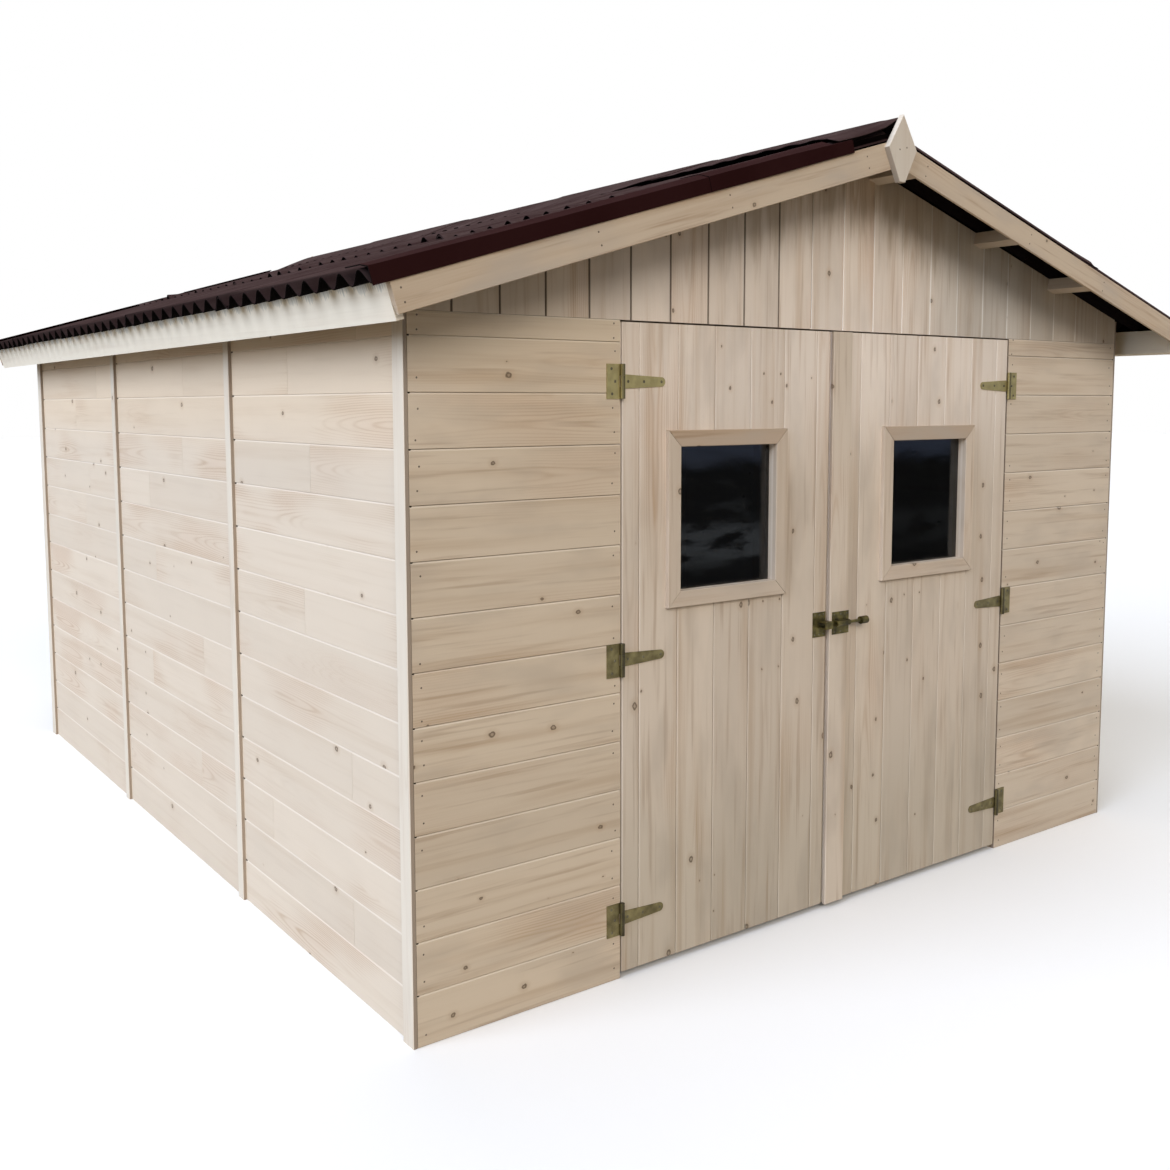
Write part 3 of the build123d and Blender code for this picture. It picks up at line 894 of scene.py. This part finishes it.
# Bargeboards along both slopes
def bargeboards(node, sign):
    low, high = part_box(node)
    depth = high[1] - low[1]
    inner = min(abs(low[1]), abs(high[1]))
    foot = eave_x / cos_pitch
    pile = Pile()
    nails = Pile()
    for slope, width in barge_widths.items():

        def place(along, across, out):
            x = along * cos_pitch - across * sin_pitch
            z = apex - along * sin_pitch - across * cos_pitch
            return (slope * x, sign * (inner + out), z)

        splayed_back = [(width, depth - barge_toe), (width - barge_splay, 0.0)]
        section = stick_section(0.0, width, depth)[:-1] + splayed_back
        carry(pile, place, section, lambda across: barge_joint + across * tan_pitch, foot, chance())
        for along in [foot - nail_inset] + [share * foot + nail_inset for share in purlin_run_shares]:
            for share in barge_nail_shares:
                dome(nails, place, along, share * width, depth, nail_head)
    pile.make(node + "_timber", barge_wood, [node])
    nails.make(node + "_nails", nail_steel)


for end, sign in ends:
    bargeboards(end + "_bargeboards", sign)


# Corrugated roof
def on_slope(slope, along, depth, rise):
    """A point along from the eave edge, at a depth of the shed, with a rise over the roof plane."""
    x = sheet_eave_x - along * cos_pitch + rise * sin_pitch
    z = roof_line(sheet_eave_x) + along * sin_pitch + rise * cos_pitch
    return (slope * x, depth, z)


def crest(depth):
    """Nothing in a valley of the corrugations, one on a crest."""
    return 0.5 - 0.5 * math.cos(2 * math.pi * (depth + verge_y) / wave_step)


def wave(depth):
    return wave_rise * crest(depth)


def shell(pile, surface, alongs, depths):
    """A closed thin sheet over a grid of places; surface gives the place of each at a height in it."""
    rows = len(alongs)
    columns = len(depths)
    heights = (sheet_thickness, 0.0)
    corners = [surface(along, depth, height) for height in heights for along in alongs for depth in depths]
    size = rows * columns
    faces = []
    for row in range(rows - 1):
        for column in range(columns - 1):
            first = row * columns + column
            square = (first, first + 1, first + columns + 1, first + columns)
            faces.append(square)
            faces.append(tuple(size + index for index in reversed(square)))
    rim = list(range(columns))
    rim += [row * columns + columns - 1 for row in range(1, rows)]
    rim += [(rows - 1) * columns + column for column in range(columns - 2, -1, -1)]
    rim += [row * columns for row in range(rows - 2, 0, -1)]
    for corner, after in zip(rim, rim[1:] + rim[:1]):
        faces.append((corner, after, size + after, size + corner))
    pile.add(corners, faces)


def lifted(depth, reach, seed):
    """How far an edge has lifted at a place along the shed: flat stretches and a few open ones."""
    wave_number = (depth + verge_y) / wave_step - 0.5
    if wave_number < len(lap_open_shares) - 1:
        return reach * float(np.interp(wave_number, range(len(lap_open_shares)), lap_open_shares))
    swell = sum(share * noise.noise((depth * scale, seed, layer)) for scale, layer, share in lap_swells)
    return reach * min(1.0, max(lap_open_least, lap_open_mean + swell))


def roof_sheets(side, slope):
    """Two lapped rows of sheets, every other sheet lying over its neighbours."""
    pile = Pile()
    middle = slope_length / 2 + lap_shifts[slope]
    for start, end, lift, edge_lift in (
        (eave_inset, middle + row_lap / 2, 0.0, 0.0),
        (middle - row_lap / 2, slope_length - sheet_ridge_gap, row_lift, lap_edge_lifts[slope]),
    ):
        alongs = [start + share * (end - start) for share in sheet_row_shares]
        for count, first in enumerate(range(0, wave_count, waves_per_sheet)):
            last = min(first + waves_per_sheet + 1, wave_count)
            depths = np.linspace(first, last, (last - first) * wave_points + 1) * wave_step - verge_y
            on_top = count % 2

            def surface(along, depth, layer):
                fade = max(0.0, 1.0 - (along - start) / lap_edge_run) ** 2
                near = min(depth - depths[0], depths[-1] - depth)
                hump = side_lap_hump * on_top * max(0.0, 1.0 - near / side_lap_run)
                rise = wave(depth) + lift + side_lap_lift * on_top
                rise += (hump + lifted(depth, edge_lift, slope + count)) * fade
                return on_slope(slope, along, depth, rise + layer)

            shell(pile, surface, alongs, depths)
    node = side + "_roof_sheets"
    pile.make(node + "_corrugated", roof_bitumen, [node], smooth=True)


def cap_surface(across, depth, layer):
    """The ridge cap: its low edges hug the crests and open in places, its left front mouth sags."""
    run = math.hypot(across, cap_fold_radius) - cap_fold_radius
    edge = (abs(across) / cap_reach) ** cap_edge_curve
    closed = 1.0 - float(np.interp(depth, cap_open_places, cap_open_shares))
    drop = edge * closed * (cap_edge_drop + cap_edge_sag * (1.0 - crest(depth)))
    if across < 0.0:
        mouth = max(0.0, 1.0 - (depth + verge_y) / cap_mouth_run)
        drop += float(np.interp(-across, cap_mouth_runs, cap_mouth_drops)) * mouth
    return (across, depth, cap_top - sheet_thickness - run * cap_fall - drop + layer)


def ridge_cap():
    """Folded lengths over the ridge, lapped, the first with its right front corner cut on a slant."""
    pile = Pile()
    acrosses = np.linspace(-cap_reach, cap_reach, cap_columns)
    lengths = math.ceil(2 * verge_y / cap_length)
    for count in range(lengths):
        start = -verge_y + 2 * verge_y * count / lengths
        end = start + 2 * verge_y / lengths
        start -= cap_lap * (count > 0)
        depths = list(np.linspace(start, end, round((end - start) / wave_step * cap_points_per_wave)))
        if count == 0:
            bends = (cap_mouth_run, cap_setback - cap_setback_step, cap_setback)
            depths = sorted(depths + [bend - verge_y for bend in bends])
        proud = side_lap_lift * (count % 2)

        def surface(across, depth, layer):
            ahead = depth + verge_y
            if across > 0.0 and ahead < cap_setback:
                across *= (cap_corner_cut + ahead) / cap_reach
            return cap_surface(across, depth, layer - side_lap_lift + proud)

        shell(pile, surface, acrosses, depths)
    pile.make("ridge_cap_lengths", roof_bitumen, ["ridge_cap"], smooth=True)


def trim_row(along, end, shoulder, leg, proud):
    """One section of a verge trim: a flange over the bargeboard and a leg bent over the outer crest."""
    seat = wave_rise + sheet_thickness + row_lift + side_lap_lift
    face_rise = float(np.interp(along, trim_face_runs, trim_face_rises))
    rise = face_rise + (seat - face_rise) * shoulder / trim_shoulder_and_leg[0]
    skin = proud + trim_thickness
    sway = trim_wave * noise.noise((along * trim_sway_scale, end, 1.0))
    sag = trim_wave * noise.noise((along * trim_sag_scale, end, 7.0))
    points = [
        (verge_y + skin + sway, sag - trim_drop),
        (verge_y + skin, face_rise + skin),
        (verge_y - shoulder, rise + skin),
        (verge_y - leg, rise + skin),
        (verge_y - leg, rise + proud),
        (verge_y - shoulder, rise + proud),
        (verge_y + proud, face_rise + proud),
        (verge_y + proud + sway, sag - trim_drop),
    ]
    return [on_slope(-1, along, end * depth, height) for depth, height in points]


def verge_trims():
    """Two lapped lengths at each end of the left slope; under the ridge cap only the flange goes on."""
    pile = Pile()
    leg_end = slope_length - cap_reach / cos_pitch - sheet_ridge_gap
    flange_end = slope_length - finial_half_width / cos_pitch - trim_finial_gap
    lengths = (
        (eave_inset, trim_joint_run + trim_joint_lap, 0.0),
        (trim_joint_run, flange_end, trim_joint_proud),
    )
    for _, end in ends:
        for start, stop, proud in lengths:
            places = list(np.arange(start, stop, trim_step)) + [stop]
            if start < leg_end < stop:
                places = sorted(places + [leg_end, leg_end + trim_thickness])
            rows = []
            for along in places:
                shoulder, leg = trim_shoulder_and_leg if along <= leg_end else trim_flange_edge
                rows.append(trim_row(along, end, shoulder, leg, proud))
            loft(pile, rows)
    pile.make("left_verge_trims_lengths", trim_bitumen, ["left_verge_trims"])


def cap_filler():
    """A near-black strip of painted shade that shuts the mouth under the ridge cap at the front."""
    end = slope_length - filler_ridge_gap
    rows = []
    for along in (end - filler_run, end):
        rows.append([on_slope(-1, along, depth - verge_y, rise) for depth, rise in filler_section])
    pile = Pile()
    loft(pile, rows)
    pile.make("cap_filler", shade_filler_bitumen)


def closure(name, end, section):
    """Near-black filler, painted shade, over the length of the shed; section gives its corners at each place.
    """
    pile = Pile()
    loft(pile, [section(depth) for depth in np.linspace(-end, end, wave_count * wave_points)])
    pile.make(name, shade_filler_bitumen)


def ridge_closure(side, slope):
    """Fills the room between the crests and the low edge of the ridge cap."""
    near = cap_reach - ridge_closure_inset
    far = near - closure_width
    seat = sheet_thickness + row_lift + side_lap_lift + closure_slack

    def section(depth):
        corners = []
        for x, upper in ((near, False), (near, True), (far, True), (far, False)):
            foot = roof_line(x) + (wave(depth) + seat) / cos_pitch
            head = cap_surface(-x, depth, 0.0)[2] - side_lap_lift - closure_slack
            corners.append((slope * x, depth, max(head, foot + closure_slack) if upper else foot))
        return corners

    closure(side + "_ridge_closure", verge_y - cap_setback, section)


def eave_closure(side, slope):
    """Fills each corrugation over the fascia."""
    near = (sheet_eave_reach + closure_inset) / cos_pitch
    far = near + closure_width

    def section(depth):
        top = max(closure_slack, wave(depth) - closure_slack)
        corners = ((near, 0.0), (near, top), (far, top), (far, 0.0))
        return [on_slope(slope, along, depth, rise) for along, rise in corners]

    closure(side + "_eave_closure", verge_y - closure_width, section)


for side, slope in sides:
    roof_sheets(side, slope)
ridge_cap()
verge_trims()
cap_filler()
for side, slope in sides:
    ridge_closure(side, slope)
for side, slope in sides:
    eave_closure(side, slope)


# Nails, screws and the open groove ends beside the cover strips
def heads(name, place, spots, out, head, material, body="shed"):
    """One piece with a head at each spot (along, across) of a face."""
    pile = Pile()
    for along, across in spots:
        dome(pile, place, along, across, out, head)
    pile.make(name, material, body=body)


def panel_nails(node, sign):
    """Two nails in each end of every board."""
    low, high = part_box(node)
    spots = []
    seams = level_seams(high[2])
    for bottom, top in zip(seams, seams[1:]):
        for along in (low[0] + nail_inset, high[0] - nail_inset):
            for share in board_nail_shares:
                across = bottom + share * (top - bottom) + float(draw.normal(0.0, nail_scatter_up))
                spot = (along + float(draw.normal(0.0, nail_scatter_along)), across)
                if chance() < nail_share:
                    spots.append(spot)
    heads(node + "_nails", on_end(sign), spots, board_depth, nail_head, nail_steel)


def groove_ends(name, place, top, alongs, head):
    """Dark ends of the grooves between level boards."""
    spots = [(along, seam) for along in alongs for seam in level_seams(top)[1:-1]]
    out = board_depth - head[1]
    heads(name + "_groove_ends", place, spots, out, head, groove_dark)


def side_groove_ends(side, sign):
    alongs = []
    for low, high in solids_of(side + "_cover_strips"):
        alongs += [low[1] - groove_end_inset, high[1] + groove_end_inset]
    open_alongs = [along for along in alongs if abs(along) < inner_y]
    groove_ends(side, on_side(sign), side_top, open_alongs, groove_end)


def corner_groove_ends(node, sign):
    low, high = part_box(node)
    inset = corner_groove_end[0]
    outer = low[0] + inset if low[0] < -high[0] else high[0] - inset
    groove_ends(node, on_end(sign), high[2], [outer], corner_groove_end)


def hinge_screws(side, sign):
    """Screw heads in the wall plates, which stay, and in the straps, which turn with the leaf."""
    place = on_end_upright(-1)
    face = board_depth + hinge_metal
    plates = []
    straps = []
    for low, high in solids_of(side + "_hinge_plates"):
        outer = low[0] if sign < 0 else high[0]
        plates += [(low[2] + up * (high[2] - low[2]), outer - sign * inset) for inset, up in plate_screws]
    for low, high in solids_of(side + "_hinge_straps"):
        tip = high[0] if sign < 0 else low[0]
        straps += [((low[2] + high[2]) / 2, tip + sign * inset) for inset in strap_screw_insets]
    heads(side + "_hinge_plate_screws", place, plates, face, screw_head, screw_zinc)
    heads(side + "_hinge_strap_screws", place, straps, face, screw_head, screw_zinc, side + "_door")


def bolt_screws(node, body, ground):
    """Screw heads in a plate of the bolt, which lies on a face at this y."""
    low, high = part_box(node)
    out = -ground - inner_y + bolt_plate_metal
    alongs = (low[2] + bolt_screw_inset, high[2] - bolt_screw_inset)
    acrosses = (low[0] + bolt_screw_inset, (low[0] + high[0]) / 2, high[0] - bolt_screw_inset)
    spots = [(along, across) for along in alongs for across in acrosses]
    heads(node + "_screws", on_end_upright(-1), spots, out, bolt_screw_head, screw_zinc, body)


def finial(node, sign):
    """A pointed plate over the joint of the bargeboards, with two nail heads."""
    low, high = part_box(node)
    middle = (low[2] + high[2]) / 2
    corners = [corner.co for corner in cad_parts[node].data.vertices]
    points = {(round(corner.x, corner_digits), round(corner.z, corner_digits)) for corner in corners}
    outline = sorted(points, key=lambda point: math.atan2(point[1] - middle, point[0]))
    back, face = sorted((abs(low[1]), abs(high[1])))
    face -= finial_face_inset
    rows = []
    for depth, shrink in ((back, 0.0), (face - finial_bevel, 0.0), (face, finial_bevel)):
        scale = 1.0 - shrink / finial_half_width
        rows.append([(x * scale, sign * depth, middle + (z - middle) * scale) for x, z in outline])
    plate = Pile()
    loft(plate, rows)
    plate.make(node + "_timber", finial_wood, [node])
    spots = [(high[2] - drop, across) for across, drop in finial_nails]
    heads(node + "_nails", on_end_upright(sign), spots, face - inner_y, nail_head, nail_steel)


for side, _ in sides:
    for end, sign in ends:
        panel_nails(f"{end}_wall_{side}", sign)
    for end, sign in ends:
        corner_groove_ends(f"{end}_wall_{side}", sign)
for side, sign in sides:
    side_groove_ends(side, sign)
for side, sign in sides:
    hinge_screws(side, sign)
bolt_screws("bolt_plate", "right_door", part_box("meeting_strip")[0][1])
bolt_screws("bolt_keeper", "left_door", -wall_y)
for end, sign in ends:
    finial(end + "_finial", sign)

# Finishes of the CAD pieces that stay
for material, nodes in (
    (purlin_wood, ("left_purlins", "right_purlins")),
    (fascia_wood, ("left_fascia", "right_fascia")),
    (hinge_zinc, ("left_hinge_plates", "right_hinge_plates", "left_hinge_straps", "right_hinge_straps")),
    (bolt_zinc, ("bolt_plate", "bolt_keeper", "sliding_bolt")),
    (window_glass, ("left_window_glass", "right_window_glass")),
):
    for node in nodes:
        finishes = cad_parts[node].data.materials
        finishes.clear()
        finishes.append(material)

# Stage and light
floor_corners = ((-60.0, -60.0, 0.0), (60.0, -60.0, 0.0), (60.0, 60.0, 0.0), (-60.0, 60.0, 0.0))
floor_bounce = (0.23, 0.185, 0.125)
floor_white = (0.96, 0.96, 0.96)
sky_dim = 0.22
card_corners = ((1.0, -7.0, 0.0), (12.0, -7.0, 0.0), (12.0, -7.0, 4.0), (1.0, -7.0, 4.0))


def background_rays(shader):
    """One for rays from the camera, off gloss and through panes, which see the stage white."""
    path = shader.node("LightPath").outputs
    seen = Value(shader, path["Is Camera Ray"])
    for kind in ("Is Glossy Ray", "Is Transmission Ray"):
        seen = seen.math("MAXIMUM", path[kind])
    return seen


def stage_sheet(name, corners, shader, tone, roughness):
    mesh = bpy.data.meshes.new(name)
    mesh.from_pydata(corners, [], [(0, 1, 2, 3)])
    shader.put("Specular IOR Level", 0.0)
    mesh.materials.append(shader.finish(tone, roughness))
    sheet = new_object(name, mesh)
    return sheet


def pale_floor():
    shader = new_material("pale_floor")
    tone = shader.blend(background_rays(shader), floor_bounce, floor_white)
    stage_sheet("floor", floor_corners, shader, tone, 0.9)


def dark_card():
    """A dark glowing card in front of the doors, off to the right, unseen by the camera and by diffuse light,
    whose brighter patches and bands are painted for the panes to show as reflections.
    """
    shader = new_material("dark_card")
    x, y, z = shader.axes()
    patch = shader.noise(shader.join(x * 0.7, y, z * 2.6), 3.4, 4.0, 0.6)
    near_side = x.ramp(6.2, 5.0, 0.12, 0.85)
    high_band = (patch * 0.4 + z).ramp(1.2, 1.42, 0.0, 0.7)
    low_band = z.ramp(0.66, 0.48) * z.ramp(0.16, 0.32)
    low_patch = low_band * patch.ramp(0.4, 0.56) * near_side
    mid_patch = patch.ramp(0.54, 0.7, 0.0, 0.5) * near_side
    tone = shader.blend(near_side, (0.03, 0.03, 0.03), (0.07, 0.07, 0.075))
    tone = shader.blend(mid_patch, tone, (0.3, 0.32, 0.34))
    high_tone = shader.blend(near_side, (0.25, 0.31, 0.48), (0.4, 0.47, 0.68))
    tone = shader.blend(high_band, tone, high_tone)
    tone = shader.blend(low_patch, tone, (0.44, 0.47, 0.5))
    shader.put("Emission Color", tone)
    shader.put("Emission Strength", 1.0)
    card = stage_sheet("dark_card", card_corners, shader, (0.0, 0.0, 0.0), 1.0)
    card.visible_camera = False
    card.visible_diffuse = False
    card.visible_shadow = False


def sky():
    world = bpy.data.worlds.new("studio_sky")
    bpy.context.scene.world = world
    shader = Shader(world, "Background")
    shader.put("Color", (1.0, 1.0, 1.0))
    shader.put("Strength", background_rays(shader).ramp(0.0, 1.0, sky_dim, 1.0))


def sun_lamp(name, aim, strength, softness, colour):
    lamp = bpy.data.lights.new(name, "SUN")
    lamp.energy = strength
    lamp.angle = math.radians(softness)
    lamp.color = colour
    new_object(name, lamp).rotation_euler = Vector(aim).to_track_quat("-Z", "Y").to_euler()


def photo_camera():
    lens = bpy.data.cameras.new("photo_camera")
    lens.sensor_width = sensor_width
    lens.lens = focal_pixels / photo_pixels * sensor_width
    lens.shift_x = 0.5 - centre_pixel_x / photo_pixels
    lens.shift_y = centre_pixel_y / photo_pixels - 0.5
    lens.clip_start = clip_near
    lens.clip_end = clip_far
    holder = new_object("photo_camera", lens)
    turn = Matrix.Rotation(-eye_yaw, 4, "Z") @ Matrix.Rotation(math.pi / 2 - eye_pitch, 4, "X")
    holder.matrix_world = Matrix.Translation(eye_place) @ turn @ Matrix.Rotation(eye_roll, 4, "Z")
    bpy.context.scene.camera = holder


pale_floor()
dark_card()
sky()
sun_lamp("key_lamp", (1.0, 0.05, -0.55), 3.2, 50.0, (0.755, 0.845, 1.0))
sun_lamp("front_lamp", (0.35, 1.0, -0.6), 1.48, 32.0, (1.0, 0.915, 0.81))
sun_lamp("top_lamp", (-0.15, -0.15, -1.0), 0.8, 50.0, (1.0, 1.0, 1.0))
photo_camera()
bpy.context.scene.view_settings.view_transform = "Standard"
